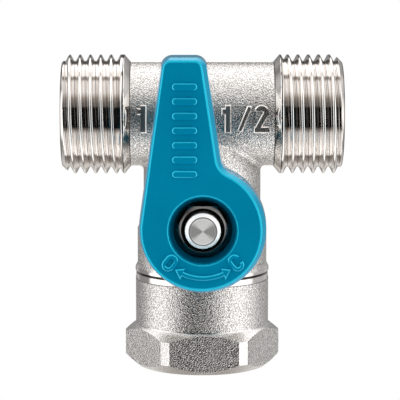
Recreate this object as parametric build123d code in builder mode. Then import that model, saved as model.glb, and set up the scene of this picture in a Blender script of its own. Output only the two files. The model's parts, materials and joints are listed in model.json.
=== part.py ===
"""Three-way ball valve: forged tee body, screwed end connector, ball, stem, packing and lever."""

import os
from math import asin, cos, degrees, radians, sin, sqrt, tan

from build123d import *

# Millimetres. The origin is the middle of the inlet's end face.
# +Z runs up the barrel, +X along the run, and the stem points to -Y.

# G 1/2 pipe thread of the outlets and the inlet
thread_major_d = 20.955
thread_depth = 1.162
thread_pitch = 1.814
thread_flank_angle = 27.5
thread_crest_share = 1 / 6
first_crest = 1.75
shoulder_run = 1.15
thread_lead = 0.5

# run of the tee
run_height = 44.6
outlet_reach = 24.6
run_tube_d = 18.2
tube_bare = 2.0
outlet_bore_d = 13.5
mouth_chamfer = 0.45

# barrel of the body
barrel_d = 20.7
dome_drop = 10.3
saddle_fillet = 0.8
chamber_d = 22.9
flare_rise = -0.35
flare_height = 2.4
stem_height = 27.1
passage_d = 11.0
joint_drop = 10.4
lip_d = 23.7
lip_height = 1.15
lip_edge = 0.4
joint_edge = 0.25

# end connector
connector_d = 23.6
band_height = 1.15
band_step = 0.08
hex_across_flats = 24.5
hex_corner_cut = 1.0
hex_turn = 1.5
hex_height = 7.35
hex_base_d = 23.0
hex_base_angle = 40.0
hex_top_angle = 38.0
hex_root_fillet = 0.35
inlet_depth = 11.5
inlet_lead = 0.9

# ball and seats
seat_d = 16.4
ball_inset = 0.2
ball_bore_d = 10.5
ball_edge = 0.3
slot_width = 3.2
slot_depth = 1.9
seat_near_drop = 3.7
seat_far_drop = 1.0
seal_ring_thickness = 0.4
spigot_wall = 1.25

# stem, from the ball outward
stem_d = 8.0
collar_gap = 0.2
collar_d = 9.8
collar_thickness = 1.05
thrust_washer_thickness = 0.7
stem_web = 1.25
packing_box_d = 10.4
packing_ring_height = 0.73
packing_vee = 0.3
packing_nut_reach = 1.6
packing_nut_head = 1.0
packing_nut_flats = 11.0
boss_d = 14.4
boss_edge = 0.4
stem_flats = 6.1
stem_thread_d = 6.0
stem_end_chamfer = 0.75
stem_stand = 0.7

# lever, its outline about the stem
lobe_d = 21.6
lever_reach = 29.1
lever_top_right = 0.5
lever_left_angle = 8.0
lever_right_angle = 8.6
lever_corner = 2.0
lever_blend = 3.0
lever_middle = -3.05
draft_inset = 0.15
bevel_inset = 0.5
bevel_sideways = 0.3
bevel_depth = 1.3
face_fillet = 0.7
skirt_wall = 1.5
plate_thickness = 2.0
skirt_lift = 0.8
hub_d = 12.6
hub_floor = 1.8
rib_width = 1.4
rib_lift = 0.4
well_d = 11.7
well_cone_depth = 2.1
well_hole_d = 9.9
well_rim = 0.45

# nut and washer in the well
lock_washer_thickness = 0.8
lock_washer_d = 8.8
lock_washer_split = 0.7
handle_nut_flats = 8.0
handle_nut_height = 2.8
handle_nut_chamfer = 30.0
handle_nut_face = 7.4
nut_sink = 1.1

# raised marks on the lever: an O, a C, an arrow between them and grip bars
mark_height = 0.45
mark_edge = 0.2
letter_ring = 7.7
letter_angle = 44.0
letter_tilt = 40.0
letter_height = 3.1
letter_width = 2.2
letter_stroke = 0.72
letter_opening = 0.9
arrow_ring = 8.0
arrow_band = 0.8
arrow_half_angle = 25.0
arrow_tip_angle = 36.0
arrow_head = 2.1
grip_count = 7
grip_first = 9.6
grip_last = 24.2
grip_length = 4.2
grip_width = 1.2

# raised size mark beside each outlet: the figures of one half
size_place = 7.3
size_height = 4.9
size_stroke = 1.15
size_stand = 0.35
size_edge = 0.2
wall_skin = 0.4
size_step = 2.9
slash_width = 0.92
slash_lean = 68.0
figure_width = 2.7
bow_start = 170.0
bow_turn = -215.0

# stop between body and lever
stop_d = 1.8
stop_ring = 7.8
stop_play = 0.15

# clearances
fixed_gap = 0.05
seat_gap = 0.1
cup_gap = 0.03
shaft_gap = 0.05
packing_gap = 0.03
tang_gap = 0.1
turning_gap = 0.3
hub_gap = 0.15

# threads
thread_r = thread_major_d / 2
thread_root_r = thread_r - thread_depth
crest_flat = thread_pitch * thread_crest_share
flank = thread_depth * tan(radians(thread_flank_angle))
run_tube_r = run_tube_d / 2
thread_room = outlet_reach - first_crest - crest_flat / 2 - shoulder_run - barrel_d / 2 - tube_bare
crest_count = int(thread_room / thread_pitch) + 1

# ball, seats and spigot
ball_d = seat_d - 2 * ball_inset
ball_r = ball_d / 2
seat_near = ball_r - seat_near_drop
seat_far = ball_r - seat_far_drop
seat_pocket_r = seat_d / 2 + fixed_gap
spigot_r = seat_pocket_r + spigot_wall

# heights up the barrel
joint_z = stem_height - joint_drop
collar_pocket_r = collar_d / 2 + turning_gap
bore_step_z = stem_height - collar_pocket_r - 2 * turning_gap
spigot_top_z = bore_step_z - seal_ring_thickness
lower_seat_z = stem_height - seat_far
upper_seat_z = stem_height + seat_far
chamber_bore_r = seat_d / 2 + seat_gap
spigot_bore_r = spigot_r + fixed_gap
passage_r = passage_d / 2

# heights along the stem, out from the barrel's axis
collar_base = ball_r + collar_gap
collar_top = collar_base + collar_thickness
washer_seat = collar_top + thrust_washer_thickness
box_floor = washer_seat + stem_web
packing_first = box_floor + packing_ring_height
packing_second = packing_first + packing_ring_height
packing_top = packing_second + packing_ring_height
boss_end = packing_top + packing_nut_reach
packing_nut_top = boss_end + packing_nut_head
hub_back = packing_nut_top + hub_gap
well_floor = hub_back + hub_floor
handle_nut_base = well_floor + lock_washer_thickness
handle_nut_top = handle_nut_base + handle_nut_height
lever_face = handle_nut_top + nut_sink
stem_end = lever_face + stem_stand
skirt_back = hub_back + skirt_lift
pocket_roof = lever_face - plate_thickness
bevel_start = lever_face - bevel_depth

# planes and axes about the run and the stem
run_axis = Axis((0, 0, run_height), (1, 0, 0))
run_plane = Plane(origin=(0, 0, run_height), x_dir=(0, 1, 0), z_dir=(1, 0, 0))
stem_axis = Axis((0, 0, stem_height), (0, -1, 0))
stem_plane = Plane(origin=(0, 0, stem_height), x_dir=(1, 0, 0), z_dir=(0, -1, 0))
stem_section = Plane(origin=(0, 0, stem_height), x_dir=(1, 0, 0), z_dir=(0, 0, -1))


def outlet_points():
    """Outside of the run from the barrel out to the right-hand end, as (x, radius)."""
    last_crest = first_crest + (crest_count - 1) * thread_pitch
    shoulder_x = outlet_reach - last_crest - crest_flat / 2 - shoulder_run
    points = [(shoulder_x, run_tube_r)]
    for crest in range(crest_count):
        crest_x = outlet_reach - last_crest + crest * thread_pitch
        points.append((crest_x - crest_flat / 2, thread_r))
        points.append((crest_x + crest_flat / 2, thread_r))
        points.append((crest_x + crest_flat / 2 + flank, thread_root_r))
        if crest < crest_count - 1:
            points.append((crest_x + thread_pitch - crest_flat / 2 - flank, thread_root_r))
    points.append((outlet_reach - thread_lead, thread_root_r))
    points.append((outlet_reach, thread_root_r - thread_lead))
    return points


def lever_outline(inset, sideways):
    """Draws the lever's outline in the open sketch, drawn in by inset and moved sideways."""
    left = radians(lever_left_angle)
    right = radians(lever_right_angle)
    lobe_r = lobe_d / 2 - inset
    top = lever_reach - inset
    tangent = (sideways - lobe_r * cos(left), lobe_r * sin(left))
    top_left = (tangent[0] + (top - tangent[1]) * tan(left), top)
    top_right = (sideways + lever_top_right + inset * (tan(right) - 1 / cos(right)), top)
    # where the right-hand side meets the lobe
    run_x = top_right[0] - sideways
    along = run_x * sin(right) - top * cos(right)
    reach = -along - sqrt(along**2 - run_x**2 - top**2 + lobe_r**2)
    meet = (top_right[0] + reach * sin(right), top - reach * cos(right))
    with BuildLine() as outline:
        Line(tangent, top_left)
        Line(top_left, top_right)
        Line(top_right, meet)
        ThreePointArc(meet, (sideways, -lobe_r), tangent)
    make_face(outline.edges())
    fillet(vertices().group_by(Axis.Y)[-1], lever_corner - inset)
    fillet(vertices().sort_by_distance(meet)[0], lever_blend + inset)


def down(radius, angle):
    """A point of the lever's face at a radius and an angle from straight down, right positive."""
    return (radius * sin(radians(angle)), -radius * cos(radians(angle)))


# body
size_plane = Plane(origin=(0, -run_tube_r - size_stand, run_height), x_dir=(1, 0, 0), z_dir=(0, -1, 0))
figure_r = (figure_width - size_stroke) / 2
figure_top = size_height / 2 - size_stroke / 2 - figure_r
figure_foot = -size_height / 2 + size_stroke / 2
size_root = run_tube_r + size_stand - outlet_bore_d / 2 - wall_skin
right_points = outlet_points()
left_points = [(-x, radius) for x, radius in reversed(right_points)]
dome_z = run_height - dome_drop
lip_top_z = joint_z + lip_height
flare_z = stem_height + flare_rise
with BuildPart() as valve_body:
    # run tube with a ring form of the thread at each end
    with BuildSketch(Plane.XY.offset(run_height)):
        with BuildLine():
            Polyline((-outlet_reach, 0), *left_points, *right_points, (outlet_reach, 0), close=True)
        make_face()
    revolve(axis=run_axis)
    # barrel with a domed top, a wider chamber and a lip at the joint
    with BuildSketch(Plane.XZ):
        with BuildLine():
            Polyline(
                (0, dome_z + barrel_d / 2),
                (0, joint_z),
                (lip_d / 2 - joint_edge, joint_z),
                (lip_d / 2, joint_z + joint_edge),
                (lip_d / 2, lip_top_z - lip_edge),
                (chamber_d / 2, lip_top_z + lip_edge),
                (chamber_d / 2, flare_z - flare_height),
                (barrel_d / 2, flare_z),
                (barrel_d / 2, dome_z),
            )
            CenterArc((0, dome_z), barrel_d / 2, 0, 90)
        make_face()
    revolve(axis=Axis.Z)
    saddle = edges().filter_by(GeomType.BSPLINE)
    fillet(saddle, saddle_fillet)
    # boss round the stem, and the stop that the lever's ribs meet
    with BuildSketch(stem_plane.offset(chamber_bore_r)):
        Circle(boss_d / 2)
    extrude(amount=boss_end - chamber_bore_r)
    boss_rim = edges().filter_by(GeomType.CIRCLE).group_by(Axis.Y)[0]
    chamfer(boss_rim, boss_edge)
    with BuildSketch(stem_plane.offset(spigot_bore_r + fixed_gap)):
        with Locations((0, -stop_ring)):
            Circle(stop_d / 2)
    extrude(amount=pocket_roof - turning_gap - spigot_bore_r - fixed_gap)
    # passages
    with BuildSketch(run_plane):
        Circle(outlet_bore_d / 2)
    extrude(amount=outlet_reach, both=True, mode=Mode.SUBTRACT)
    with BuildSketch(Plane.XZ):
        Polygon(
            (0, joint_z),
            (spigot_bore_r, joint_z),
            (spigot_bore_r, bore_step_z),
            (chamber_bore_r, bore_step_z),
            (chamber_bore_r, upper_seat_z),
            (passage_r, upper_seat_z),
            (passage_r, run_height),
            (0, run_height),
            align=None,
        )
    revolve(axis=Axis.Z, mode=Mode.SUBTRACT)
    with BuildSketch(stem_section):
        Polygon(
            (0, 0),
            (collar_pocket_r, 0),
            (collar_pocket_r, washer_seat),
            (stem_d / 2 + shaft_gap, washer_seat),
            (stem_d / 2 + shaft_gap, box_floor),
            (packing_box_d / 2, box_floor),
            (packing_box_d / 2, boss_end),
            (0, boss_end),
            align=None,
        )
    revolve(axis=stem_axis, mode=Mode.SUBTRACT)
    mouths = edges().filter_by(GeomType.CIRCLE).filter_by(
        lambda edge: abs(edge.radius - outlet_bore_d / 2) < fixed_gap
    )
    chamfer(mouths.group_by(Axis.X)[0], mouth_chamfer)
    mouths = edges().filter_by(GeomType.CIRCLE).filter_by(
        lambda edge: abs(edge.radius - outlet_bore_d / 2) < fixed_gap
    )
    chamfer(mouths.group_by(Axis.X)[-1], mouth_chamfer)
    # size mark on each side: a one, a stroke and a two
    with BuildSketch(size_plane):
        with Locations((-size_place - size_step, 0), (size_place - size_step, 0)):
            Rectangle(size_stroke, size_height)
            with Locations((-size_stroke / 2, size_height / 2 - size_stroke)):
                Rectangle(size_stroke, size_stroke)
        with Locations((-size_place, 0), (size_place, 0)):
            SlotOverall(size_height, slash_width, slash_lean)
        for place in (-size_place + size_step, size_place + size_step):
            with BuildLine(Location((place, 0))):
                bow = CenterArc((0, figure_top), figure_r, bow_start, bow_turn)
                Line(bow @ 1, (-figure_r, figure_foot))
            trace(line_width=size_stroke)
            with Locations((place, figure_foot)):
                Rectangle(figure_width, size_stroke)
    extrude(amount=-size_root)
    size_front = -run_tube_r - size_stand
    size_rim = edges().filter_by_position(Axis.Y, size_front - fixed_gap, size_front + fixed_gap)
    chamfer(size_rim, size_edge)

# end connector
corner_r = hex_across_flats / sqrt(3)
base_rise = (corner_r - hex_base_d / 2) * tan(radians(hex_base_angle))
top_fall = (corner_r - connector_d / 2) * tan(radians(hex_top_angle))
band_r = connector_d / 2 - band_step
with BuildPart() as end_connector:
    # hexagon with cut corners, turned to a cone at both ends
    with BuildSketch(Plane.XY):
        RegularPolygon(hex_across_flats / 2, 6, major_radius=False, rotation=hex_turn)
        chamfer(vertices(), hex_corner_cut)
    extrude(amount=hex_height)
    with BuildSketch(Plane.XZ):
        Polygon(
            (0, 0),
            (hex_base_d / 2, 0),
            (corner_r, base_rise),
            (corner_r, hex_height - top_fall),
            (connector_d / 2, hex_height),
            (0, hex_height),
            align=None,
        )
    revolve(axis=Axis.Z, mode=Mode.INTERSECT)
    # barrel with a machined band at the joint, and the spigot screwed into the body
    with BuildSketch(Plane.XZ):
        Polygon(
            (0, 0),
            (connector_d / 2, hex_height / 2),
            (connector_d / 2, joint_z - band_height),
            (band_r, joint_z - band_height),
            (band_r, joint_z - joint_edge),
            (band_r - joint_edge, joint_z),
            (spigot_r, joint_z),
            (spigot_r, spigot_top_z),
            (0, spigot_top_z),
            align=None,
        )
    revolve(axis=Axis.Z)
    root = edges().filter_by_position(Axis.Z, hex_height - fixed_gap, hex_height + fixed_gap)
    fillet(root, hex_root_fillet)
    # inlet, passage and the lower seat's pocket
    with BuildSketch(Plane.XZ):
        Polygon(
            (0, 0),
            (thread_root_r + inlet_lead, 0),
            (thread_root_r, inlet_lead),
            (thread_root_r, inlet_depth),
            (passage_r, inlet_depth),
            (passage_r, lower_seat_z),
            (seat_pocket_r, lower_seat_z),
            (seat_pocket_r, spigot_top_z),
            (0, spigot_top_z),
            align=None,
        )
    revolve(axis=Axis.Z, mode=Mode.SUBTRACT)

# seal between the spigot and the body
with BuildPart() as body_seal_ring:
    with BuildSketch(Plane.XY.offset(spigot_top_z)):
        Circle(spigot_r)
        Circle(chamber_bore_r, mode=Mode.SUBTRACT)
    extrude(amount=seal_ring_thickness)

# ball, its bore upright while open and its drive slot across the bore
with BuildPart() as ball:
    with BuildSketch(Plane.XZ):
        with BuildLine():
            bore_end = sqrt(ball_r**2 - (ball_bore_d / 2 + ball_edge) ** 2)
            Polyline(
                (ball_bore_d / 2 + ball_edge, stem_height - bore_end),
                (ball_bore_d / 2, stem_height - bore_end + ball_edge),
                (ball_bore_d / 2, stem_height + bore_end - ball_edge),
                (ball_bore_d / 2 + ball_edge, stem_height + bore_end),
            )
            ThreePointArc(
                (ball_bore_d / 2 + ball_edge, stem_height + bore_end),
                (ball_r, stem_height),
                (ball_bore_d / 2 + ball_edge, stem_height - bore_end),
            )
        make_face()
    revolve(axis=Axis.Z)
    with BuildSketch(stem_plane.offset(ball_r - slot_depth)):
        Rectangle(2 * ball_d, slot_width)
    extrude(amount=ball_d, mode=Mode.SUBTRACT)

# upper seat, a ring with a cup for the ball
cup_r = ball_r + cup_gap
seat_bore_r = ball_bore_d / 2 + seat_gap
cup_bottom = sqrt(cup_r**2 - seat_bore_r**2)
cup_top_r = sqrt(cup_r**2 - seat_near**2)
cup_middle = (cup_bottom + seat_near) / 2
cup_middle_r = sqrt(cup_r**2 - cup_middle**2)
with BuildPart() as upper_seat:
    with BuildSketch(Plane.XZ):
        with BuildLine():
            Polyline(
                (cup_top_r, stem_height + seat_near),
                (seat_d / 2, stem_height + seat_near),
                (seat_d / 2, stem_height + seat_far),
                (seat_bore_r, stem_height + seat_far),
                (seat_bore_r, stem_height + cup_bottom),
            )
            ThreePointArc(
                (seat_bore_r, stem_height + cup_bottom),
                (cup_middle_r, stem_height + cup_middle),
                (cup_top_r, stem_height + seat_near),
            )
        make_face()
    revolve(axis=Axis.Z)

# lower seat, the same ring turned over
with BuildPart() as lower_seat:
    with BuildSketch(Plane.XZ):
        with BuildLine():
            Polyline(
                (cup_top_r, stem_height - seat_near),
                (seat_d / 2, stem_height - seat_near),
                (seat_d / 2, stem_height - seat_far),
                (seat_bore_r, stem_height - seat_far),
                (seat_bore_r, stem_height - cup_bottom),
            )
            ThreePointArc(
                (seat_bore_r, stem_height - cup_bottom),
                (cup_middle_r, stem_height - cup_middle),
                (cup_top_r, stem_height - seat_near),
            )
        make_face()
    revolve(axis=Axis.Z)

# stem: tang in the ball's slot, collar, shank, flats for the lever and a threaded end
tang_tip = ball_r - slot_depth + tang_gap
flats_end = well_floor - hub_gap
with BuildPart() as stem:
    with BuildSketch(stem_section):
        Polygon(
            (0, collar_base),
            (collar_d / 2, collar_base),
            (collar_d / 2, collar_top),
            (stem_d / 2, collar_top),
            (stem_d / 2, flats_end),
            (stem_thread_d / 2, flats_end),
            (stem_thread_d / 2, stem_end - stem_end_chamfer),
            (stem_thread_d / 2 - stem_end_chamfer, stem_end),
            (0, stem_end),
            align=None,
        )
    revolve(axis=stem_axis)
    with BuildSketch(stem_plane.offset(tang_tip)):
        Rectangle(stem_d, slot_width - 2 * tang_gap)
    extrude(amount=collar_base - tang_tip)
    with BuildSketch(stem_plane.offset(hub_back)):
        with Locations((stem_flats / 2 + stem_d / 2, 0), (-stem_flats / 2 - stem_d / 2, 0)):
            Rectangle(stem_d, 2 * stem_d)
    extrude(amount=flats_end - hub_back, mode=Mode.SUBTRACT)

# washer that takes the collar's push
with BuildPart() as thrust_washer:
    with BuildSketch(stem_plane.offset(collar_top)):
        Circle(collar_d / 2)
        Circle(stem_d / 2 + shaft_gap, mode=Mode.SUBTRACT)
    extrude(amount=thrust_washer_thickness)

# packing rings, nested vees between the box floor and the nut
packing_in = stem_d / 2 + packing_gap
packing_out = packing_box_d / 2 - packing_gap
packing_mid = (packing_in + packing_out) / 2
with BuildPart() as inner_packing_ring:
    with BuildSketch(stem_section):
        Polygon(
            (packing_in, box_floor),
            (packing_out, box_floor),
            (packing_out, packing_first),
            (packing_mid, packing_first + packing_vee),
            (packing_in, packing_first),
            align=None,
        )
    revolve(axis=stem_axis)

with BuildPart() as middle_packing_ring:
    with BuildSketch(stem_section):
        Polygon(
            (packing_in, packing_first),
            (packing_mid, packing_first + packing_vee),
            (packing_out, packing_first),
            (packing_out, packing_second),
            (packing_mid, packing_second + packing_vee),
            (packing_in, packing_second),
            align=None,
        )
    revolve(axis=stem_axis)

with BuildPart() as outer_packing_ring:
    with BuildSketch(stem_section):
        Polygon(
            (packing_in, packing_second),
            (packing_mid, packing_second + packing_vee),
            (packing_out, packing_second),
            (packing_out, packing_top),
            (packing_in, packing_top),
            align=None,
        )
    revolve(axis=stem_axis)

# nut that presses the packing
with BuildPart() as packing_nut:
    with BuildSketch(stem_plane.offset(packing_top)):
        Circle(packing_box_d / 2 - fixed_gap)
    extrude(amount=packing_nut_reach)
    with BuildSketch(stem_plane.offset(boss_end)):
        RegularPolygon(packing_nut_flats / 2, 6, major_radius=False)
    extrude(amount=packing_nut_head)
    with BuildSketch(stem_plane.offset(packing_top)):
        Circle(stem_d / 2 + turning_gap)
    extrude(amount=packing_nut_top - packing_top, mode=Mode.SUBTRACT)

# lever
stop_turn = degrees(asin((stop_d / 2 + rib_width / 2 + stop_play) / stop_ring))
grip_step = (grip_last - grip_first) / (grip_count - 1)
grip_places = [(lever_middle, grip_first + bar * grip_step) for bar in range(grip_count)]
letter_x = letter_ring * cos(radians(letter_angle))
letter_y = -letter_ring * sin(radians(letter_angle))
inner_width = letter_width - 2 * letter_stroke
inner_r = arrow_ring - arrow_band / 2
outer_r = arrow_ring + arrow_band / 2
with BuildPart() as handle:
    # skirt, bevel and face
    with BuildSketch(stem_plane.offset(skirt_back)):
        lever_outline(0, 0)
    with BuildSketch(stem_plane.offset(bevel_start)):
        lever_outline(draft_inset, 0)
    loft(ruled=True)
    with BuildSketch(stem_plane.offset(bevel_start)):
        lever_outline(draft_inset, 0)
    with BuildSketch(stem_plane.offset(lever_face)):
        lever_outline(draft_inset + bevel_inset, -bevel_sideways)
    loft(ruled=True)
    fillet(edges().group_by(Axis.Y)[0], face_fillet)
    # hollow back with a hub, a rib up the lever and two ribs that meet the stop
    with BuildSketch(stem_plane.offset(skirt_back)):
        lever_outline(draft_inset + skirt_wall, 0)
    extrude(amount=pocket_roof - skirt_back, mode=Mode.SUBTRACT)
    with BuildSketch(stem_plane.offset(skirt_back + rib_lift)):
        with Locations((lever_middle, 0)):
            Rectangle(rib_width, lever_reach - skirt_wall / 2, align=(Align.CENTER, Align.MIN))
        Rectangle(lobe_d / 2 - skirt_wall / 2, rib_width, -90 - stop_turn, (Align.MIN, Align.CENTER))
        Rectangle(lobe_d / 2 - skirt_wall / 2, rib_width, stop_turn, (Align.MIN, Align.CENTER))
    extrude(amount=pocket_roof - skirt_back - rib_lift)
    with BuildSketch(stem_plane.offset(hub_back)):
        Circle(hub_d / 2)
    extrude(amount=pocket_roof - hub_back)
    # well for the nut, and the hole that fits the stem's flats
    with BuildSketch(stem_section):
        Polygon(
            (0, well_floor),
            (well_hole_d / 2, well_floor),
            (well_hole_d / 2, lever_face - well_cone_depth),
            (well_d / 2, lever_face),
            (0, lever_face),
            align=None,
        )
    revolve(axis=stem_axis, mode=Mode.SUBTRACT)
    rim = edges().filter_by(GeomType.CIRCLE).group_by(Axis.Y)[0]
    fillet(rim.sort_by_distance(stem_plane.offset(lever_face).origin)[0], well_rim)
    with BuildSketch(stem_plane.offset(hub_back)):
        Circle(stem_d / 2 + fixed_gap)
        Rectangle(stem_flats + 2 * fixed_gap, 2 * stem_d, mode=Mode.INTERSECT)
    extrude(amount=hub_floor, mode=Mode.SUBTRACT)
    # raised marks
    with BuildSketch(stem_plane.offset(lever_face)):
        with Locations(Location((-letter_x, letter_y), -letter_tilt)):
            SlotOverall(letter_height, letter_width, 90)
            SlotOverall(letter_height - 2 * letter_stroke, inner_width, 90, mode=Mode.SUBTRACT)
    extrude(amount=mark_height)
    with BuildSketch(stem_plane.offset(lever_face)):
        with Locations(Location((letter_x, letter_y), letter_tilt)):
            SlotOverall(letter_height, letter_width, 90)
            SlotOverall(letter_height - 2 * letter_stroke, inner_width, 90, mode=Mode.SUBTRACT)
            Rectangle(letter_width, letter_opening, 0, (Align.MIN, Align.CENTER), mode=Mode.SUBTRACT)
    extrude(amount=mark_height)
    with BuildSketch(stem_plane.offset(lever_face)):
        with BuildLine():
            ThreePointArc(
                down(inner_r, -arrow_half_angle), down(inner_r, 0), down(inner_r, arrow_half_angle)
            )
            Polyline(
                down(inner_r, arrow_half_angle),
                down(arrow_ring - arrow_head / 2, arrow_half_angle),
                down(arrow_ring, arrow_tip_angle),
                down(arrow_ring + arrow_head / 2, arrow_half_angle),
                down(outer_r, arrow_half_angle),
            )
            ThreePointArc(
                down(outer_r, arrow_half_angle), down(outer_r, 0), down(outer_r, -arrow_half_angle)
            )
            Polyline(
                down(outer_r, -arrow_half_angle),
                down(arrow_ring + arrow_head / 2, -arrow_half_angle),
                down(arrow_ring, -arrow_tip_angle),
                down(arrow_ring - arrow_head / 2, -arrow_half_angle),
                down(inner_r, -arrow_half_angle),
            )
        make_face()
    extrude(amount=mark_height)
    with BuildSketch(stem_plane.offset(lever_face)):
        with Locations(*grip_places):
            SlotOverall(grip_length, grip_width)
    extrude(amount=mark_height)
    chamfer(edges().group_by(Axis.Y)[0], mark_edge)

# split washer under the handle nut
with BuildPart() as lock_washer:
    with BuildSketch(stem_plane.offset(well_floor)):
        Circle(lock_washer_d / 2)
        Circle(stem_thread_d / 2 + seat_gap, mode=Mode.SUBTRACT)
        Rectangle(lock_washer_d, lock_washer_split, 0, (Align.MIN, Align.CENTER), mode=Mode.SUBTRACT)
    extrude(amount=lock_washer_thickness)

# nut on the stem's threaded end
nut_corner_r = handle_nut_flats / sqrt(3)
nut_fall = (nut_corner_r - handle_nut_face / 2) * tan(radians(handle_nut_chamfer))
with BuildPart() as handle_nut:
    with BuildSketch(stem_plane.offset(handle_nut_base)):
        RegularPolygon(handle_nut_flats / 2, 6, major_radius=False)
        Circle(stem_thread_d / 2 + fixed_gap, mode=Mode.SUBTRACT)
    extrude(amount=handle_nut_height)
    with BuildSketch(stem_section):
        Polygon(
            (0, handle_nut_base),
            (nut_corner_r, handle_nut_base),
            (nut_corner_r, handle_nut_top - nut_fall),
            (handle_nut_face / 2, handle_nut_top),
            (0, handle_nut_top),
            align=None,
        )
    revolve(axis=stem_axis, mode=Mode.INTERSECT)

parts = {
    "valve_body": valve_body,
    "end_connector": end_connector,
    "body_seal_ring": body_seal_ring,
    "ball": ball,
    "upper_seat": upper_seat,
    "lower_seat": lower_seat,
    "stem": stem,
    "thrust_washer": thrust_washer,
    "inner_packing_ring": inner_packing_ring,
    "middle_packing_ring": middle_packing_ring,
    "outer_packing_ring": outer_packing_ring,
    "packing_nut": packing_nut,
    "handle": handle,
    "lock_washer": lock_washer,
    "handle_nut": handle_nut,
}
os.makedirs("parts", exist_ok=True)
for name, builder in parts.items():
    builder.part.label = name
    export_step(builder.part, "parts/" + name + ".step")
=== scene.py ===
import json
import math

import bmesh
import bpy
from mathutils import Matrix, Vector

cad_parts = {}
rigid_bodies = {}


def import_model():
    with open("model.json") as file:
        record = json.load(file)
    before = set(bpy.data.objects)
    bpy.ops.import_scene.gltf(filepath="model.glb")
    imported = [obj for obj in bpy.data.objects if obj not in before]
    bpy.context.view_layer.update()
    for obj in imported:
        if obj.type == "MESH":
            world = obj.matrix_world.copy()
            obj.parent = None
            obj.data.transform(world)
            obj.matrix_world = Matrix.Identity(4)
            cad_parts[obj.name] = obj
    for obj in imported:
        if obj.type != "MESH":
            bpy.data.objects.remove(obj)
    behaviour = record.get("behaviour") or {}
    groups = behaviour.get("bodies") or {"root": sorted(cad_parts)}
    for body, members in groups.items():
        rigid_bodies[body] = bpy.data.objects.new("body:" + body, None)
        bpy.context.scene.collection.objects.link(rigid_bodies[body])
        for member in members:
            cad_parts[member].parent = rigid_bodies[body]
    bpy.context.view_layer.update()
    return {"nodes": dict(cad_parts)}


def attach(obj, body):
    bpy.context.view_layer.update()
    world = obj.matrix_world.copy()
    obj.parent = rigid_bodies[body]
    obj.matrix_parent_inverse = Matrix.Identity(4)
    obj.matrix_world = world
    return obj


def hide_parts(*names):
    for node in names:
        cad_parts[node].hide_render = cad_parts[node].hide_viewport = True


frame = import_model()
nodes = frame["nodes"]
scene = bpy.context.scene
mm = 0.001          # sizes in the dictionaries are in millimetres where nothing else is said
print("frame loaded:", len(nodes), "nodes")


# small helpers for node trees
def feed(tree, socket, value):
    if isinstance(value, bpy.types.NodeSocket):
        tree.links.new(value, socket)
    else:
        socket.default_value = value


def addNode(tree, kind, inputs=None, **settings):
    made = tree.nodes.new(kind)
    for name, value in settings.items():
        setattr(made, name, value)
    for name, value in (inputs or {}).items():
        feed(tree, made.inputs[name], value)
    return made


def calc(tree, operation, a, b=0.0, c=0.0):
    return addNode(tree, "ShaderNodeMath", {0: a, 1: b, 2: c}, operation=operation).outputs[0]


def vectorCalc(tree, operation, a, b=(0, 0, 0)):
    return addNode(tree, "ShaderNodeVectorMath", {0: a, 1: b}, operation=operation).outputs


def ramp(tree, value, low, high, toLow=0.0, toHigh=1.0, smooth=True):
    limits = {"Value": value, "From Min": low, "From Max": high, "To Min": toLow, "To Max": toHigh}
    kind = "SMOOTHSTEP" if smooth else "LINEAR"
    return addNode(tree, "ShaderNodeMapRange", limits, interpolation_type=kind).outputs["Result"]


def parts(tree, value):
    return addNode(tree, "ShaderNodeSeparateXYZ", {0: value}).outputs


def objectPlace(tree):
    return addNode(tree, "ShaderNodeTexCoord").outputs["Object"]


def blendTone(tree, amount, a, b):
    made = addNode(tree, "ShaderNodeMix", data_type="RGBA")
    feed(tree, made.inputs["Factor"], amount)
    feed(tree, made.inputs["A"], (*a, 1) if isinstance(a, tuple) else a)
    feed(tree, made.inputs["B"], (*b, 1) if isinstance(b, tuple) else b)
    return made.outputs["Result"]


lineEdge = {"full": 0.4, "gone": 0.65}      # from the line's middle, in parts of its width


# mask of a thin line where value passes middle
def thinLine(tree, value, middle, width):
    off = calc(tree, "ABSOLUTE", calc(tree, "SUBTRACT", value, middle))
    return ramp(tree, off, lineEdge["full"] * width, lineEdge["gone"] * width, 1.0, 0.0)


def newGroup(name, treeType, inputs, outputs):
    tree = bpy.data.node_groups.new(name, treeType)
    for label, kind, value in inputs:
        socket = tree.interface.new_socket(label, in_out="INPUT", socket_type=kind)
        if value is not None:
            socket.default_value = value
    for label, kind in outputs:
        tree.interface.new_socket(label, in_out="OUTPUT", socket_type=kind)
    return tree, tree.nodes.new("NodeGroupInput").outputs, tree.nodes.new("NodeGroupOutput").inputs


def useGroup(tree, group, inputs):
    return addNode(tree, "ShaderNodeGroup", inputs, node_tree=group).outputs


# shared effects: the groups only give out values, masks and normals
number = "NodeSocketFloat"
vector = "NodeSocketVector"
grainLook = {"bumpHeight": 0.2, "speckle": (0.37, 0.63), "patches": (0.3, 0.7)}


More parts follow.
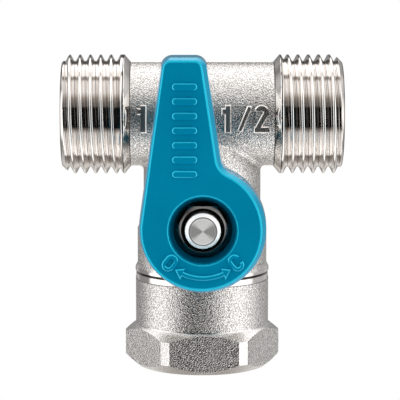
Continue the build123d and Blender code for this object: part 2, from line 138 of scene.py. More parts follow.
def makeBlastGrain():
    tree, given, out = newGroup("blastGrain", "ShaderNodeTree",
                                [("Grain Size", number, 0.25), ("Depth", number, 0.5),
                                 ("Patch Size", number, 6.0)],
                                [("Normal", vector), ("Speckle", number), ("Patch", number)])
    place = objectPlace(tree)
    pitScale = calc(tree, "DIVIDE", 1 / mm, given["Grain Size"])
    patchScale = calc(tree, "DIVIDE", 1 / mm, given["Patch Size"])
    pitNoise = {"Vector": place, "Detail": 1.0, "Roughness": 0.5, "Scale": pitScale}
    patchNoise = {"Vector": place, "Detail": 2.0, "Scale": patchScale}
    pits = addNode(tree, "ShaderNodeTexNoise", pitNoise).outputs["Fac"]
    patches = addNode(tree, "ShaderNodeTexNoise", patchNoise).outputs["Fac"]
    bump = addNode(tree, "ShaderNodeBump", {"Height": pits, "Distance": grainLook["bumpHeight"] * mm,
                                            "Strength": given["Depth"]})
    feed(tree, out["Normal"], bump.outputs["Normal"])
    feed(tree, out["Speckle"], ramp(tree, pits, *grainLook["speckle"]))
    feed(tree, out["Patch"], ramp(tree, patches, *grainLook["patches"]))
    return tree


# painted highlight: a bow-tie of brighter tone across a turned end
latheLook = {"bumpHeight": 0.1, "rings": (0.3, 0.7), "highlightFan": (0.35, 0.85)}


# fine lines left by a lathe, turning about the line through Centre along Axis; Radius is in millimetres
def makeLatheLines():
    tree, given, out = newGroup("latheLines", "ShaderNodeTree",
                                [("Centre", vector, (0, 0, 0)), ("Axis", vector, (0, 0, 1)),
                                 ("Ring Pitch", number, 0.2), ("Depth", number, 0.2)],
                                [("Normal", vector), ("Rings", number), ("Highlight Fan", number),
                                 ("Radius", number)])
    arm = vectorCalc(tree, "SUBTRACT", objectPlace(tree), given["Centre"])["Vector"]
    along = vectorCalc(tree, "DOT_PRODUCT", arm, given["Axis"])["Value"]
    sweep = vectorCalc(tree, "CROSS_PRODUCT", given["Axis"], arm)["Vector"]
    radius = vectorCalc(tree, "LENGTH", sweep)["Value"]
    around = vectorCalc(tree, "NORMALIZE", sweep)["Vector"]
    pitch = calc(tree, "MULTIPLY", given["Ring Pitch"], mm)
    walk = calc(tree, "DIVIDE", calc(tree, "ADD", along, radius), pitch)
    lineNoise = {"W": walk, "Scale": 1.0, "Detail": 3.0}
    lines = addNode(tree, "ShaderNodeTexNoise", lineNoise, noise_dimensions="1D").outputs["Fac"]
    bump = addNode(tree, "ShaderNodeBump", {"Height": lines, "Distance": latheLook["bumpHeight"] * mm,
                                            "Strength": given["Depth"]})
    # painted highlight: the bow-tie is strongest where the turning runs sideways, along X
    sideways = calc(tree, "ABSOLUTE", parts(tree, around)["X"])
    feed(tree, out["Normal"], bump.outputs["Normal"])
    feed(tree, out["Rings"], ramp(tree, lines, *latheLook["rings"]))
    feed(tree, out["Radius"], calc(tree, "DIVIDE", radius, mm))
    feed(tree, out["Highlight Fan"], ramp(tree, sideways, *latheLook["highlightFan"]))
    return tree


blastGrain = makeBlastGrain()
latheLines = makeLatheLines()


def startMaterial(name):
    made = bpy.data.materials.new(name)
    made.use_nodes = True
    tree = made.node_tree
    return made, tree, tree.nodes["Principled BSDF"]


def shotBlasted(name, look):
    made, tree, shader = startMaterial(name)
    grain = useGroup(tree, blastGrain, {"Grain Size": look["grain"], "Depth": look["depth"],
                                        "Patch Size": look["patch"]})
    tone = blendTone(tree, grain["Speckle"], look["dark"], look["light"])
    # painted shade: a dark line under the small step where the barrel's machining stops
    up = parts(tree, objectPlace(tree))["Z"]
    stepShade = thinLine(tree, up, look["stepShade"] * mm, look["stepShadeWidth"] * mm)
    gloss = ramp(tree, grain["Patch"], 0, 1, look["smooth"], look["rough"])
    feed(tree, shader.inputs["Base Color"], blendTone(tree, stepShade, tone, look["stepShadeTone"]))
    feed(tree, shader.inputs["Roughness"], gloss)
    feed(tree, shader.inputs["Normal"], grain["Normal"])
    shader.inputs["Metallic"].default_value = 1.0
    return made


def turned(name, look):
    made, tree, shader = startMaterial(name)
    cut = useGroup(tree, latheLines, {"Centre": look["centre"], "Axis": look["axis"],
                                      "Ring Pitch": look["pitch"], "Depth": look["depth"]})
    # painted highlight: the bow-tie lightens the tone, and the rings share the rest
    rings = calc(tree, "MULTIPLY", cut["Rings"], 1 - look["highlightFan"])
    amount = calc(tree, "MULTIPLY_ADD", cut["Highlight Fan"], look["highlightFan"], rings)
    tone = blendTone(tree, amount, look["dark"], look["light"])
    gloss = ramp(tree, cut["Rings"], 0, 1, look["smooth"], look["rough"])
    if "ring" in look:          # dark line at the edge of the turned end, and a bevel round it coloured lighter as a painted highlight
        past = ramp(tree, cut["Radius"], look["ring"], look["ring"] + look["ringFade"])
        ring = thinLine(tree, cut["Radius"], look["ring"], look["ringWidth"])
        tone = blendTone(tree, past, tone, look["bevelHighlightTone"])
        tone = blendTone(tree, ring, tone, look["ringTone"])
        gloss = calc(tree, "MULTIPLY", gloss, ramp(tree, past, 0, 1, 1.0, look["bevelGloss"]))
    if "root" in look:          # painted shade: the roots of the thread are darkened, as the flanks would shade them
        top = look["root"] + look["rootShadeHeight"]
        sunkShade = ramp(tree, cut["Radius"], look["root"], top, 1.0, 0.0)
        tone = blendTone(tree, sunkShade, tone, look["rootShadeTone"])
    if "footShade" in look:          # painted shade: a dark line in the corner at the foot of each outlet's thread
        outward = calc(tree, "ABSOLUTE", parts(tree, objectPlace(tree))["X"])
        footShade = thinLine(tree, outward, look["footShade"] * mm, look["footShadeWidth"] * mm)
        tone = blendTone(tree, footShade, tone, look["footShadeTone"])
    feed(tree, shader.inputs["Base Color"], tone)
    feed(tree, shader.inputs["Roughness"], gloss)
    feed(tree, shader.inputs["Normal"], cut["Normal"])
    shader.inputs["Metallic"].default_value = 1.0
    return made


edgeGloss = {"from": 0.35, "to": 0.62, "left": 0.3}     # how gloss falls off as a face turns away


def moulded(name, look):
    made, tree, shader = startMaterial(name)
    skin = useGroup(tree, blastGrain, {"Grain Size": look["grain"], "Depth": look["depth"],
                                       "Patch Size": look["patch"]})
    tone = blendTone(tree, skin["Patch"], look["dark"], look["light"])
    if "well" in look:          # painted shade: the blue darkens deeper down in the nut's well
        fromStem = useGroup(tree, latheLines, {"Centre": look["centre"], "Axis": look["axis"]})["Radius"]
        back = parts(tree, objectPlace(tree))["Y"]
        starts = (look["face"] + look["wellStart"]) * mm
        ends = (look["face"] + look["wellEnd"]) * mm
        sunkShade = ramp(tree, back, starts, ends)
        fade = look["wellFade"]
        inside = ramp(tree, fromStem, look["well"] - fade, look["well"] + fade, 1.0, 0.0)
        tone = blendTone(tree, calc(tree, "MULTIPLY", sunkShade, inside), tone, look["wellTone"])
    facing = addNode(tree, "ShaderNodeLayerWeight").outputs["Facing"]
    dimmest = edgeGloss["left"] * look["shine"]
    shine = ramp(tree, facing, edgeGloss["from"], edgeGloss["to"], look["shine"], dimmest)
    feed(tree, shader.inputs["Base Color"], tone)
    feed(tree, shader.inputs["Roughness"], ramp(tree, skin["Speckle"], 0, 1, look["smooth"], look["rough"]))
    feed(tree, shader.inputs["Normal"], skin["Normal"])
    feed(tree, shader.inputs["Specular IOR Level"], shine)
    shader.inputs["IOR"].default_value = look["ior"]
    shader.inputs["Specular Tint"].default_value = (*look.get("glint", (1, 1, 1)), 1)
    shader.inputs["Metallic"].default_value = look.get("metal", 0.0)
    return made


# lines that turned pieces turn about
runHeight = 44.6 * mm
stemHeight = 27.1 * mm
runLine = {"centre": (0, 0, runHeight), "axis": (1, 0, 0)}
barrelLine = {"centre": (0, 0, 0), "axis": (0, 0, 1)}
stemLine = {"centre": (0, 0, stemHeight), "axis": (0, 1, 0)}

nickel = {
    "dark": (0.34, 0.328, 0.317),
    "light": (0.80, 0.777, 0.754),
    "grain": 0.20,
    "patch": 7.0,
    "depth": 0.58,
    "smooth": 0.22,
    "rough": 0.27,
    # painted shade of the small step at the foot of the machined band
    "stepShade": 15.47,
    "stepShadeWidth": 0.13,
    "stepShadeTone": (0.16, 0.15, 0.145),
}
hexagonEdges = {**nickel, "depth": 0.14, "dark": (0.54, 0.521, 0.503)}
polish = {
    "dark": (0.64, 0.606, 0.582),
    "light": (0.82, 0.796, 0.772),
    "smooth": 0.03,
    "rough": 0.05,
    "pitch": 0.12,
    "depth": 0.006,
    "highlightFan": 0.0,
}
machinedRun = {
    **polish,
    **runLine,
    # painted shade: a near-black line in the corner at the foot of each outlet's thread
    "footShade": 13.78,
    "footShadeWidth": 0.17,
    "footShadeTone": (0.03, 0.028, 0.026),
    # painted shade: the thread's roots are darkened, as the flanks would shade them
    "root": 9.318,
    "rootShadeHeight": 0.02,
    "rootShadeTone": (0.19, 0.165, 0.148),
}
rubbedMarks = {**polish, **runLine, "smooth": 0.26, "rough": 0.34}
shadedGroove = {**polish, **barrelLine, "dark": (0.10, 0.095, 0.09), "light": (0.2, 0.19, 0.18)}
turnedStem = {
    **polish,
    **stemLine,
    "pitch": 0.16,
    "depth": 0.10,
    # share of the tone that goes to the painted bow-tie highlight
    "highlightFan": 0.75,
    "dark": (0.36, 0.36, 0.36),
    "light": (1.0, 1.0, 0.99),
    "smooth": 0.54,
    "rough": 0.64,
    "ring": 2.34,
    "ringWidth": 0.16,
    "ringFade": 0.05,
    "ringTone": (0.12, 0.12, 0.12),
    "bevelHighlightTone": (0.90, 0.87, 0.85),
    "bevelGloss": 0.7,
}
# plated nut, its colour darkened as painted shade of the deep well it sits in
platedNut = {
    **polish,
    **stemLine,
    "dark": (0.10, 0.097, 0.093),
    "light": (0.19, 0.185, 0.18),
    "smooth": 0.12,
    "rough": 0.18,
}
plainBrass = {
    **polish,
    **stemLine,
    "dark": (0.66, 0.50, 0.24),
    "light": (0.80, 0.62, 0.32),
    "smooth": 0.20,
    "rough": 0.30,
}
blueEnamel = {
    **stemLine,
    "dark": (0.000, 0.278, 0.485),
    "light": (0.000, 0.300, 0.522),
    "grain": 0.9,
    "patch": 9.0,
    "depth": 0.015,
    "smooth": 0.10,
    "rough": 0.13,
    "shine": 2.8,
    "ior": 1.5,
    "glint": (0.05, 0.85, 1.0),
    # painted shade in the nut's well: its depth behind the face, its radius and its tone
    "face": -22.64,
    "well": 5.9,
    "wellStart": 0.15,
    "wellEnd": 0.9,
    "wellFade": 0.1,
    "wellTone": (0.0, 0.10, 0.19),
}
whitePtfe = {
    "dark": (0.80, 0.80, 0.78),
    "light": (0.88, 0.88, 0.87),
    "grain": 0.4,
    "patch": 9.0,
    "depth": 0.06,
    "smooth": 0.45,
    "rough": 0.55,
    "shine": 0.4,
    "ior": 1.38,
}
chromeBall = {
    "dark": (0.86, 0.87, 0.88),
    "light": (0.92, 0.92, 0.93),
    "grain": 0.3,
    "patch": 9.0,
    "depth": 0.01,
    "smooth": 0.05,
    "rough": 0.08,
    "shine": 0.5,
    "ior": 1.5,
    "metal": 1.0,
}
finish = {
    "blasted": shotBlasted("blastedNickel", nickel),
    "hexCut": shotBlasted("blastedHexagonEdges", hexagonEdges),
    "runCut": turned("machinedRun", machinedRun),
    "rubbed": turned("rubbedMarks", rubbedMarks),
    "groove": turned("shadedGroove", shadedGroove),
    "barrelCut": turned("machinedBarrel", {**polish, **barrelLine}),
    "stemEnd": turned("turnedStem", turnedStem),
    "nut": turned("platedNut", platedNut),
    "blue": moulded("blueEnamel", blueEnamel),
    "ptfe": moulded("whitePtfe", whitePtfe),
    "brass": turned("plainBrass", plainBrass),
    "chrome": moulded("chromeBall", chromeBall),
}
print("materials made:", len(finish))

# pipe thread with 55 degree flanks; its form is in parts of the pitch
pipeThread = {
    "pitch": 1.814,
    "middle": 9.8965,
    "depth": 1.162,
    "rowsPerPitch": 24.0,
    "stepsRound": 145,
    "weld": 0.002,
    "formDepth": 0.64033,       # from root to crest
    "roundRadius": 0.13733,     # of crests and roots
    "roundHalf": 0.1218,        # from the middle of a crest to its flank
    "flankSlope": 3.0,          # in parts of the depth for one pitch
}


# drop of a rounded crest from its top, in parts of the thread's depth
def rounded(tree, away):
    radius = pipeThread["roundRadius"]
    near = calc(tree, "MINIMUM", away, pipeThread["roundHalf"])
    sineSquared = calc(tree, "POWER", calc(tree, "DIVIDE", near, radius), 2.0)
    cosine = calc(tree, "SQRT", calc(tree, "SUBTRACT", 1.0, sineSquared))
    return calc(tree, "MULTIPLY", calc(tree, "SUBTRACT", 1.0, cosine), radius / pipeThread["formDepth"])


# one thread as a closed sleeve: a grid bent round the line, its rows following the helix
def makeThreadSleeve():
    tree, given, out = newGroup("threadSleeve", "GeometryNodeTree",
                                [("Length", number, 12.0), ("Pitch", number, 1.814),
                                 ("Middle Radius", number, 9.9), ("Depth", number, 1.162),
                                 ("Side", number, 1.0), ("Back Radius", number, 8.9),
                                 ("Mouth Height", number, -0.6), ("Tail Height", number, -0.8),
                                 ("Tail Slope", number, 1.2), ("Blank", number, 1.0),
                                 ("Mouth Place", number, 0.0), ("Direction", number, 1.0),
                                 ("Steps Round", "NodeSocketInt", 145),
                                 ("Material", "NodeSocketMaterial", None)],
                                [("Mesh", "NodeSocketGeometry")])
    length = given["Length"]
    pitch = given["Pitch"]
    # rows of the grid: first and last two are the sleeve's back, the rest its threaded face
    step = calc(tree, "DIVIDE", pitch, pipeThread["rowsPerPitch"])
    outerRows = calc(tree, "CEIL", calc(tree, "DIVIDE", calc(tree, "ADD", length, pitch), step))
    lastRow = calc(tree, "ADD", outerRows, 3.0)
    grid = addNode(tree, "GeometryNodeMeshGrid", {"Size X": 1.0, "Size Y": 1.0,
                                                  "Vertices X": calc(tree, "ADD", lastRow, 1.0),
                                                  "Vertices Y": given["Steps Round"]})
    spot = parts(tree, addNode(tree, "GeometryNodeInputPosition").outputs[0])
    row = calc(tree, "ROUND", calc(tree, "MULTIPLY", calc(tree, "ADD", spot["X"], 0.5), lastRow))
    turn = calc(tree, "ADD", spot["Y"], 0.5)
    isFirst = calc(tree, "LESS_THAN", row, 0.5)
    isLast = calc(tree, "GREATER_THAN", row, calc(tree, "SUBTRACT", lastRow, 0.5))
    isEnd = calc(tree, "GREATER_THAN", row, calc(tree, "SUBTRACT", lastRow, 1.5))
    outer = calc(tree, "MAXIMUM", calc(tree, "SUBTRACT", row, 1.0), 0.0)
    outer = calc(tree, "MINIMUM", outer, outerRows)
    # how far in from the mouth each point is
    start = calc(tree, "MULTIPLY", calc(tree, "GREATER_THAN", given["Direction"], 0.0), pitch)
    onHelix = calc(tree, "SUBTRACT", calc(tree, "MULTIPLY", outer, step), start)
    lead = calc(tree, "MULTIPLY", calc(tree, "MULTIPLY", given["Direction"], pitch), turn)
    depthIn = calc(tree, "MAXIMUM", calc(tree, "ADD", onHelix, lead), 0.0)
    depthIn = calc(tree, "ADD", depthIn, calc(tree, "MULTIPLY", isEnd, length))
    depthIn = calc(tree, "MINIMUM", depthIn, length)
    depthIn = calc(tree, "MULTIPLY", depthIn, calc(tree, "SUBTRACT", 1.0, isLast))
    depthIn = calc(tree, "MULTIPLY", depthIn, calc(tree, "SUBTRACT", 1.0, isFirst))
    across = calc(tree, "MULTIPLY_ADD", given["Direction"], depthIn, given["Mouth Place"])
    # form of the thread in parts of its depth, crests and roots rounded alike
    phase = calc(tree, "DIVIDE", onHelix, pitch)
    saw = calc(tree, "SUBTRACT", phase, calc(tree, "FLOOR", phase))
    fromCrest = calc(tree, "ABSOLUTE", calc(tree, "SUBTRACT", saw, 0.5))
    flank = calc(tree, "MULTIPLY", calc(tree, "SUBTRACT", 0.25, fromCrest), pipeThread["flankSlope"])
    crest = calc(tree, "SUBTRACT", 0.5, rounded(tree, fromCrest))
    root = calc(tree, "SUBTRACT", rounded(tree, calc(tree, "SUBTRACT", 0.5, fromCrest)), 0.5)
    rise = calc(tree, "MAXIMUM", calc(tree, "MINIMUM", flank, crest), root)
    # the thread runs out into a blank collar at its tail, and both ends are bevelled
    toTail = calc(tree, "SUBTRACT", length, depthIn)
    runOut = calc(tree, "MULTIPLY_ADD", pitch, 0.5, given["Blank"])
    blank = ramp(tree, toTail, given["Blank"], runOut, 1.0, 0.0)
    rise = calc(tree, "ADD", rise, calc(tree, "MULTIPLY", blank, calc(tree, "SUBTRACT", 0.5, rise)))
    height = calc(tree, "MULTIPLY", rise, given["Depth"])
    height = calc(tree, "MINIMUM", height, calc(tree, "ADD", given["Mouth Height"], depthIn))
    tail = calc(tree, "MULTIPLY_ADD", toTail, given["Tail Slope"], given["Tail Height"])
    height = calc(tree, "MINIMUM", height, tail)
    front = calc(tree, "MULTIPLY_ADD", height, given["Side"], given["Middle Radius"])
    isBack = calc(tree, "MAXIMUM", isFirst, isEnd)
    toBack = calc(tree, "MULTIPLY", isBack, calc(tree, "SUBTRACT", given["Back Radius"], front))
    radius = calc(tree, "ADD", front, toBack)
    angle = calc(tree, "MULTIPLY", turn, 2 * math.pi)
    bent = addNode(tree, "ShaderNodeCombineXYZ",
                   {"X": across,
                    "Y": calc(tree, "MULTIPLY", radius, calc(tree, "COSINE", angle)),
                    "Z": calc(tree, "MULTIPLY", radius, calc(tree, "SINE", angle))}).outputs[0]
    mesh = grid.outputs["Mesh"]
    mesh = addNode(tree, "GeometryNodeSetPosition", {"Geometry": mesh, "Position": bent}).outputs[0]
    weld = {"Geometry": mesh, "Distance": pipeThread["weld"]}
    mesh = addNode(tree, "GeometryNodeMergeByDistance", weld).outputs[0]
    paint = {"Geometry": mesh, "Material": given["Material"]}
    mesh = addNode(tree, "GeometryNodeSetMaterial", paint).outputs[0]
    mesh = addNode(tree, "GeometryNodeRealizeInstances", {"Geometry": mesh}).outputs[0]
    feed(tree, out["Mesh"], mesh)
    return tree


threadTree = makeThreadSleeve()

# sharp edges in degrees; a face is level where more than this share of its normal points up or down
meshLook = {"weld": 0.0002, "sharpCad": 20, "sharpThread": 40, "level": 0.5}


def applied(piece):
    graph = bpy.context.evaluated_depsgraph_get()
    graph.update()
    plain = bpy.data.meshes.new_from_object(piece.evaluated_get(graph), depsgraph=graph)
    old = piece.data
    piece.modifiers.clear()
    piece.data = plain
    plain.name = piece.name
    bpy.data.meshes.remove(old)
    return piece


def newPiece(name, data=None):
    made = bpy.data.objects.new(name, data or bpy.data.meshes.new(name))
    scene.collection.objects.link(made)
    return made


def markEdges(piece, degrees):
    for face in piece.data.polygons:
        face.use_smooth = True
    piece.data.set_sharp_from_angle(angle=math.radians(degrees))


def threadMesh(name, sizes, turnTo):
    values = {
        "Pitch": pipeThread["pitch"],
        "Middle Radius": pipeThread["middle"],
        "Depth": pipeThread["depth"],
        "Steps Round": pipeThread["stepsRound"],
        **sizes,
    }
    piece = newPiece(name)
    modifier = piece.modifiers.new("thread", "NODES")
    modifier.node_group = threadTree
    for item in threadTree.interface.items_tree:
        if item.in_out == "INPUT" and item.name in values:
            modifier[item.identifier] = values[item.name]
    applied(piece)
    for vertex in piece.data.vertices:          # the sleeve is made in millimetres along X
        vertex.co = turnTo(vertex.co * mm)
    markEdges(piece, meshLook["sharpThread"])
    return piece


# copy of a CAD node with its doubled corners welded, ready to be changed
def weldedCopy(node, name):
    form = bmesh.new()
    form.from_mesh(nodes[node].data)
    bmesh.ops.remove_doubles(form, verts=form.verts, dist=meshLook["weld"] * mm)
    mesh = bpy.data.meshes.new(name)
    form.to_mesh(mesh)
    form.free()
    mesh.materials.clear()
    if "custom_normal" in mesh.attributes:      # the old normals would hide sharp edges
        mesh.attributes.remove(mesh.attributes["custom_normal"])
    return newPiece(name, mesh)


def paintFaces(piece, skins, skinOf):
    for skin in skins:
        piece.data.materials.append(finish[skin])
    for face in piece.data.polygons:
        face.material_index = skins.index(skinOf(face))


def joinInto(piece, others):
    form = bmesh.new()
    form.from_mesh(piece.data)
    for other in others:
        start = len(piece.data.materials)
        for entry in other.data.materials:
            piece.data.materials.append(entry)
        part = bmesh.new()
        part.from_mesh(other.data)
        bmesh.ops.recalc_face_normals(part, faces=part.faces)
        for face in part.faces:
            face.material_index += start
        part.to_mesh(other.data)
        part.free()
        form.from_mesh(other.data)
        bpy.data.objects.remove(other)
    form.to_mesh(piece.data)
    form.free()


def smoothed(piece):
    weight = piece.modifiers.new("weighted", "WEIGHTED_NORMAL")
    weight.keep_sharp = True
    return applied(piece)


# valve body: the ring grooves of the CAD stand for the outlets' threads, which are cut here
bodyLook = {
    "outletReach": 24.6,
    "threadLength": 12.121,
    "tubeRadius": 9.1,
    "hidden": 8.95,         # radius that the CAD's rings shrink to, inside the sleeve
    "slack": 0.01,
    "sleeveInset": 0.1,
    "mouth": -0.75,         # from the middle of the thread, as are other heights
    "tailSlope": 1.2,
    "blank": 1.25,
    "boreRadius": 7.3,
    "boreStart": 7.0,
    "bandTop": 17.9,        # machined band at the foot of the barrel
    "bandRadius": 10.5,
    "grooveTop": 17.0,
    "markFront": -9.2,
    "markHalf": 2.8,
}
zoneStart = (bodyLook["outletReach"] - bodyLook["threadLength"]) * mm


def hideRings(piece):
    hidden = bodyLook["hidden"] * mm
    for vertex in piece.data.vertices:
        across = math.hypot(vertex.co.y, vertex.co.z - runHeight)
        if abs(vertex.co.x) > zoneStart + bodyLook["slack"] * mm and across > hidden:
            shrink = hidden / across
            vertex.co.y *= shrink
            vertex.co.z = runHeight + (vertex.co.z - runHeight) * shrink


def bodySkin(face):
    spot = face.center
    across = math.hypot(spot.y, spot.z - runHeight)
    inBore = across < bodyLook["boreRadius"] * mm and abs(spot.x) > bodyLook["boreStart"] * mm
    if abs(spot.x) > zoneStart or inBore:
        return "runCut"
    aside = math.hypot(spot.x, spot.y)
    if spot.z < bodyLook["bandTop"] * mm and aside > bodyLook["bandRadius"] * mm:
        inGroove = spot.z < bodyLook["grooveTop"] * mm and abs(face.normal.z) > meshLook["level"]
        return "groove" if inGroove else "barrelCut"
    onMark = spot.y < bodyLook["markFront"] * mm and abs(spot.z - runHeight) < bodyLook["markHalf"] * mm
    return "rubbed" if onMark else "blasted"        # tops of the size marks are rubbed bright


def alongRun(point):
    return Vector((point.x, point.y, point.z + runHeight))


def outletThread(side):
    sizes = {
        "Length": bodyLook["threadLength"],
        "Side": 1.0,
        "Back Radius": bodyLook["hidden"] - bodyLook["sleeveInset"],
        "Mouth Height": bodyLook["mouth"],
        "Tail Height": bodyLook["tubeRadius"] - pipeThread["middle"],
        "Tail Slope": bodyLook["tailSlope"],
        "Blank": bodyLook["blank"],
        "Mouth Place": side * bodyLook["outletReach"],
        "Direction": -float(side),
        "Material": finish["runCut"],
    }
    return threadMesh("outletThread", sizes, alongRun)


body = weldedCopy("valve_body", "valveBody")
hideRings(body)
paintFaces(body, ["blasted", "runCut", "barrelCut", "rubbed", "groove"], bodySkin)
sleeves = [outletThread(side) for side in (-1, 1)]
markEdges(body, meshLook["sharpCad"])
joinInto(body, sleeves)
smoothed(body)
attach(body, "body")
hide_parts("valve_body")
print("valve body:", len(body.data.polygons), "faces")

# end connector: the plain bore of the CAD gets its inside thread
connectorLook = {
    "bore": 9.3155,
    "wall": 10.5,           # radius that the bore grows to, behind the sleeve
    "slack": 0.02,
    "boreLow": 0.5,
    "boreHigh": 11.6,
    "threadLength": 11.49,
    "threadStart": 0.01,
    "backRadius": 10.7,
    "mouth": -0.31,
    "tail": 0.6,
    "tailSlope": 1.0,
    "blank": 0.4,
    "inside": 10.7,         # faces nearer the axis than this are bored
    "endFace": 0.05,
    "bandLow": 15.6,
    "grooveLow": 16.4,
    "grooveHigh": 17.0,
    "hexTop": 7.8,
    "halfFlats": 12.25,
    "pastFlats": 0.2,
    "slant": 0.2,
}


def openBore(piece):
    for vertex in piece.data.vertices:
        across = math.hypot(vertex.co.x, vertex.co.y)
        onBore = abs(across - connectorLook["bore"] * mm) < connectorLook["slack"] * mm
        if onBore and connectorLook["boreLow"] * mm < vertex.co.z < connectorLook["boreHigh"] * mm:
            grow = connectorLook["wall"] * mm / across
            vertex.co.x *= grow
            vertex.co.y *= grow


def connectorSkin(face):
    spot = face.center
    across = math.hypot(spot.x, spot.y)
    outside = across > connectorLook["inside"] * mm
    bored = across < connectorLook["inside"] * mm
    # the hexagon's cones and cut corners are only lightly blasted, its flats fully
    offFlats = connectorLook["halfFlats"] + connectorLook["pastFlats"]
    onCorner = spot.x * face.normal.x + spot.y * face.normal.y > offFlats * mm
    onCone = abs(face.normal.z) > connectorLook["slant"]
    onHexagon = connectorLook["endFace"] * mm < spot.z < connectorLook["hexTop"] * mm and outside
    if onHexagon and (onCorner or onCone):
        return "hexCut"
    inGroove = connectorLook["grooveLow"] * mm < spot.z < connectorLook["grooveHigh"] * mm
    if inGroove and outside and face.normal.z > meshLook["level"]:
        return "groove"
    if spot.z > connectorLook["bandLow"] * mm or bored or spot.z < connectorLook["endFace"] * mm:
        return "barrelCut"
    return "blasted"


def upBarrel(point):
    return Vector((point.y, point.z, point.x))


inletSizes = {
    "Length": connectorLook["threadLength"],
    "Side": -1.0,
    "Back Radius": connectorLook["backRadius"],
    "Mouth Height": connectorLook["mouth"],
    "Tail Height": connectorLook["tail"],
    "Tail Slope": connectorLook["tailSlope"],
    "Blank": connectorLook["blank"],
    "Mouth Place": connectorLook["threadStart"],
    "Direction": 1.0,
    "Material": finish["barrelCut"],
}
connector = weldedCopy("end_connector", "endConnector")
openBore(connector)
paintFaces(connector, ["blasted", "barrelCut", "groove", "hexCut"], connectorSkin)
markEdges(connector, meshLook["sharpCad"])
joinInto(connector, [threadMesh("inletThread", inletSizes, upBarrel)])
smoothed(connector)
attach(connector, "body")
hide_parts("end_connector")
print("end connector:", len(connector.data.polygons), "faces")

# the other pieces keep their CAD form and take their finishes
cadFinish = {
    "handle": "blue",
    "stem": "stemEnd",
    "handle_nut": "nut",
    "lock_washer": "nut",
    "packing_nut": "brass",
    "ball": "chrome",
    "upper_seat": "ptfe",
    "lower_seat": "ptfe",
    "body_seal_ring": "ptfe",
    "thrust_washer": "ptfe",
    "inner_packing_ring": "ptfe",
    "middle_packing_ring": "ptfe",
    "outer_packing_ring": "ptfe",
}
for name, skin in cadFinish.items():
    nodes[name].data.materials.clear()
    nodes[name].data.materials.append(finish[skin])
print("CAD pieces painted:", len(cadFinish))

# studio: white to the camera; what the metal sees goes round level (swing) and up and over (tilt),
# each as angles in degrees from straight out of the front, with the brightness there
studio = {
    "white": 1.0,
    "plain": 1.05,
    "front": 0.65,
    "frontStart": 0.64,     # how much a direction points to the front, 1 being straight
    "frontFull": 0.90,
    "warm": (1.0, 0.93, 0.86),
    "swing": [(-180, 0.25), (-166, 0.30), (-150, 0.60), (-138, 0.30), (-108, 0.31), (-98, 1.9),
              (-58, 1.9), (-44, 0.02), (22, 0.01), (44, 1.9), (92, 1.9), (102, 0.58), (132, 0.54),
              (147, 0.65), (166, 0.35), (180, 0.25)],
    "tilt": [(-180, 0.25), (-166, 0.35), (-158, 0.85), (-140, 1.05), (-125, 0.55), (-102, 0.30),
             (-95, 1.90), (-75, 1.75), (-50, 1.42), (-38, 1.25), (-30, 0.44), (-24, 0.004),
             (18, 0.004), (24, 0.34), (27, 0.30), (40, 0.60), (54, 1.55), (82, 1.60), (88, 0.50),
             (94, 0.50), (99, 2.2), (138, 2.6), (148, 0.25), (158, 0.06), (172, 0.22), (180, 0.25)],
    "floorHalf": 300.0,
}


def stops(tree, value, table, tone):
    share = ramp(tree, value, -180.0, 180.0, smooth=False)
    made = addNode(tree, "ShaderNodeValToRGB", {"Fac": share})
    entries = made.color_ramp.elements
    entries.remove(entries[1])
    for step, (angle, bright) in enumerate(table):
        spot = (angle + 180) / 360
        entry = entries[0] if step == 0 else entries.new(spot)
        entry.position = spot
        entry.color = (*tone(bright), 1)
    return made.outputs["Color"]


def evenTone(bright):
    return (bright, bright, bright)


def warmWhenDim(bright):        # fields dimmer than white are a little warm
    tint = studio["warm"] if bright < 1 else (1, 1, 1)
    return tuple(bright * part for part in tint)


def makeStudio():
    world = bpy.data.worlds.new("studio")
    scene.world = world
    world.use_nodes = True
    tree = world.node_tree
    tree.nodes.clear()
    way = parts(tree, addNode(tree, "ShaderNodeTexCoord").outputs["Generated"])
    degree = math.degrees(1)
    ahead = calc(tree, "MULTIPLY", way["Y"], -1.0)
    swing = calc(tree, "MULTIPLY", calc(tree, "ARCTAN2", way["X"], ahead), degree)
    tilt = calc(tree, "MULTIPLY", calc(tree, "ARCTAN2", way["Z"], ahead), degree)
    wide = calc(tree, "MULTIPLY", way["X"], way["X"])
    tall = calc(tree, "MULTIPLY", way["Z"], way["Z"])
    both = calc(tree, "MAXIMUM", calc(tree, "ADD", wide, tall), 0.0001)     # never divide by nothing
    level = calc(tree, "DIVIDE", wide, both)
    seen = blendTone(tree, level, stops(tree, tilt, studio["tilt"], warmWhenDim),
                     stops(tree, swing, studio["swing"], evenTone))
    # less plain light from behind the camera
    plain = ramp(tree, ahead, studio["frontStart"], studio["frontFull"], studio["plain"], studio["front"])
    plain = addNode(tree, "ShaderNodeCombineColor", {0: plain, 1: plain, 2: plain}).outputs[0]
    rays = addNode(tree, "ShaderNodeLightPath").outputs
    mirrored = calc(tree, "MAXIMUM", rays["Is Glossy Ray"], rays["Is Transmission Ray"])
    lit = blendTone(tree, mirrored, plain, seen)
    shown = blendTone(tree, rays["Is Camera Ray"], lit, evenTone(studio["white"]))
    world.cycles.sampling_method = "NONE"       # so that each ray meets the light meant for it
    glow = addNode(tree, "ShaderNodeBackground", {"Color": shown, "Strength": 1.0})
    feed(tree, addNode(tree, "ShaderNodeOutputWorld").inputs["Surface"], glow.outputs[0])


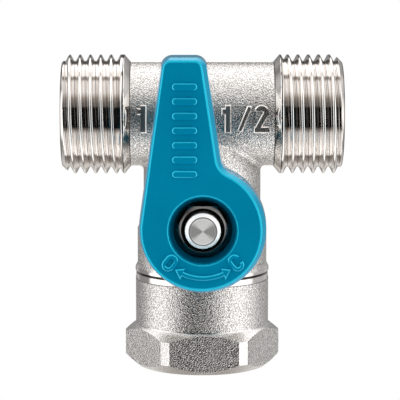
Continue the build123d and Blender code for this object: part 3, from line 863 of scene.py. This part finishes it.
def makeFloor():
    made = newPiece("floor")
    half = studio["floorHalf"] * mm
    form = bmesh.new()
    corners = ((-half, -half, 0), (half, -half, 0), (half, half, 0), (-half, half, 0))
    form.faces.new([form.verts.new(corner) for corner in corners])
    form.to_mesh(made.data)
    form.free()
    paint, tree = startMaterial("paleFloor")[:2]
    rays = addNode(tree, "ShaderNodeLightPath").outputs
    pale = addNode(tree, "ShaderNodeEmission", {"Color": (1, 1, 1, 1), "Strength": studio["white"]})
    clear = addNode(tree, "ShaderNodeBsdfTransparent")
    fromBelow = addNode(tree, "ShaderNodeNewGeometry").outputs["Backfacing"]
    shown = calc(tree, "MULTIPLY", rays["Is Camera Ray"], calc(tree, "SUBTRACT", 1.0, fromBelow))
    chosen = addNode(tree, "ShaderNodeMixShader", {0: shown, 1: clear.outputs[0], 2: pale.outputs[0]})
    feed(tree, tree.nodes["Material Output"].inputs["Surface"], chosen.outputs[0])
    made.data.materials.append(paint)
    return made


makeStudio()
floor = makeFloor()

# camera as found from the outline of the photo; angles in degrees, offset in pixels
shot = {
    "targetHeight": 27.0,
    "raise": 8.2,
    "swing": -0.36,
    "away": 380.0,
    "pixelsPerMm": 5.626,
    "offset": (2.05, 12.5),
    "pictureSide": 400,
    "sensor": 36,
    "clipStart": 10.0,
}


def setCamera():
    lens = bpy.data.cameras.new("camera")
    camera = bpy.data.objects.new("camera", lens)
    scene.collection.objects.link(camera)
    up = math.radians(shot["raise"])
    turnBy = math.radians(shot["swing"])
    arm = Vector((math.sin(turnBy) * math.cos(up), -math.cos(turnBy) * math.cos(up), math.sin(up)))
    camera.location = Vector((0, 0, shot["targetHeight"] * mm)) + arm * (shot["away"] * mm)
    camera.rotation_euler = (-arm).to_track_quat("-Z", "Y").to_euler()
    lens.sensor_width = shot["sensor"]
    lens.lens = shot["pixelsPerMm"] * shot["away"] / shot["pictureSide"] * shot["sensor"]
    lens.shift_x = -shot["offset"][0] / shot["pictureSide"]
    lens.shift_y = shot["offset"][1] / shot["pictureSide"]
    lens.clip_start = shot["clipStart"] * mm
    scene.camera = camera
    scene.view_settings.view_transform = "Standard"


setCamera()
print("studio and camera set")
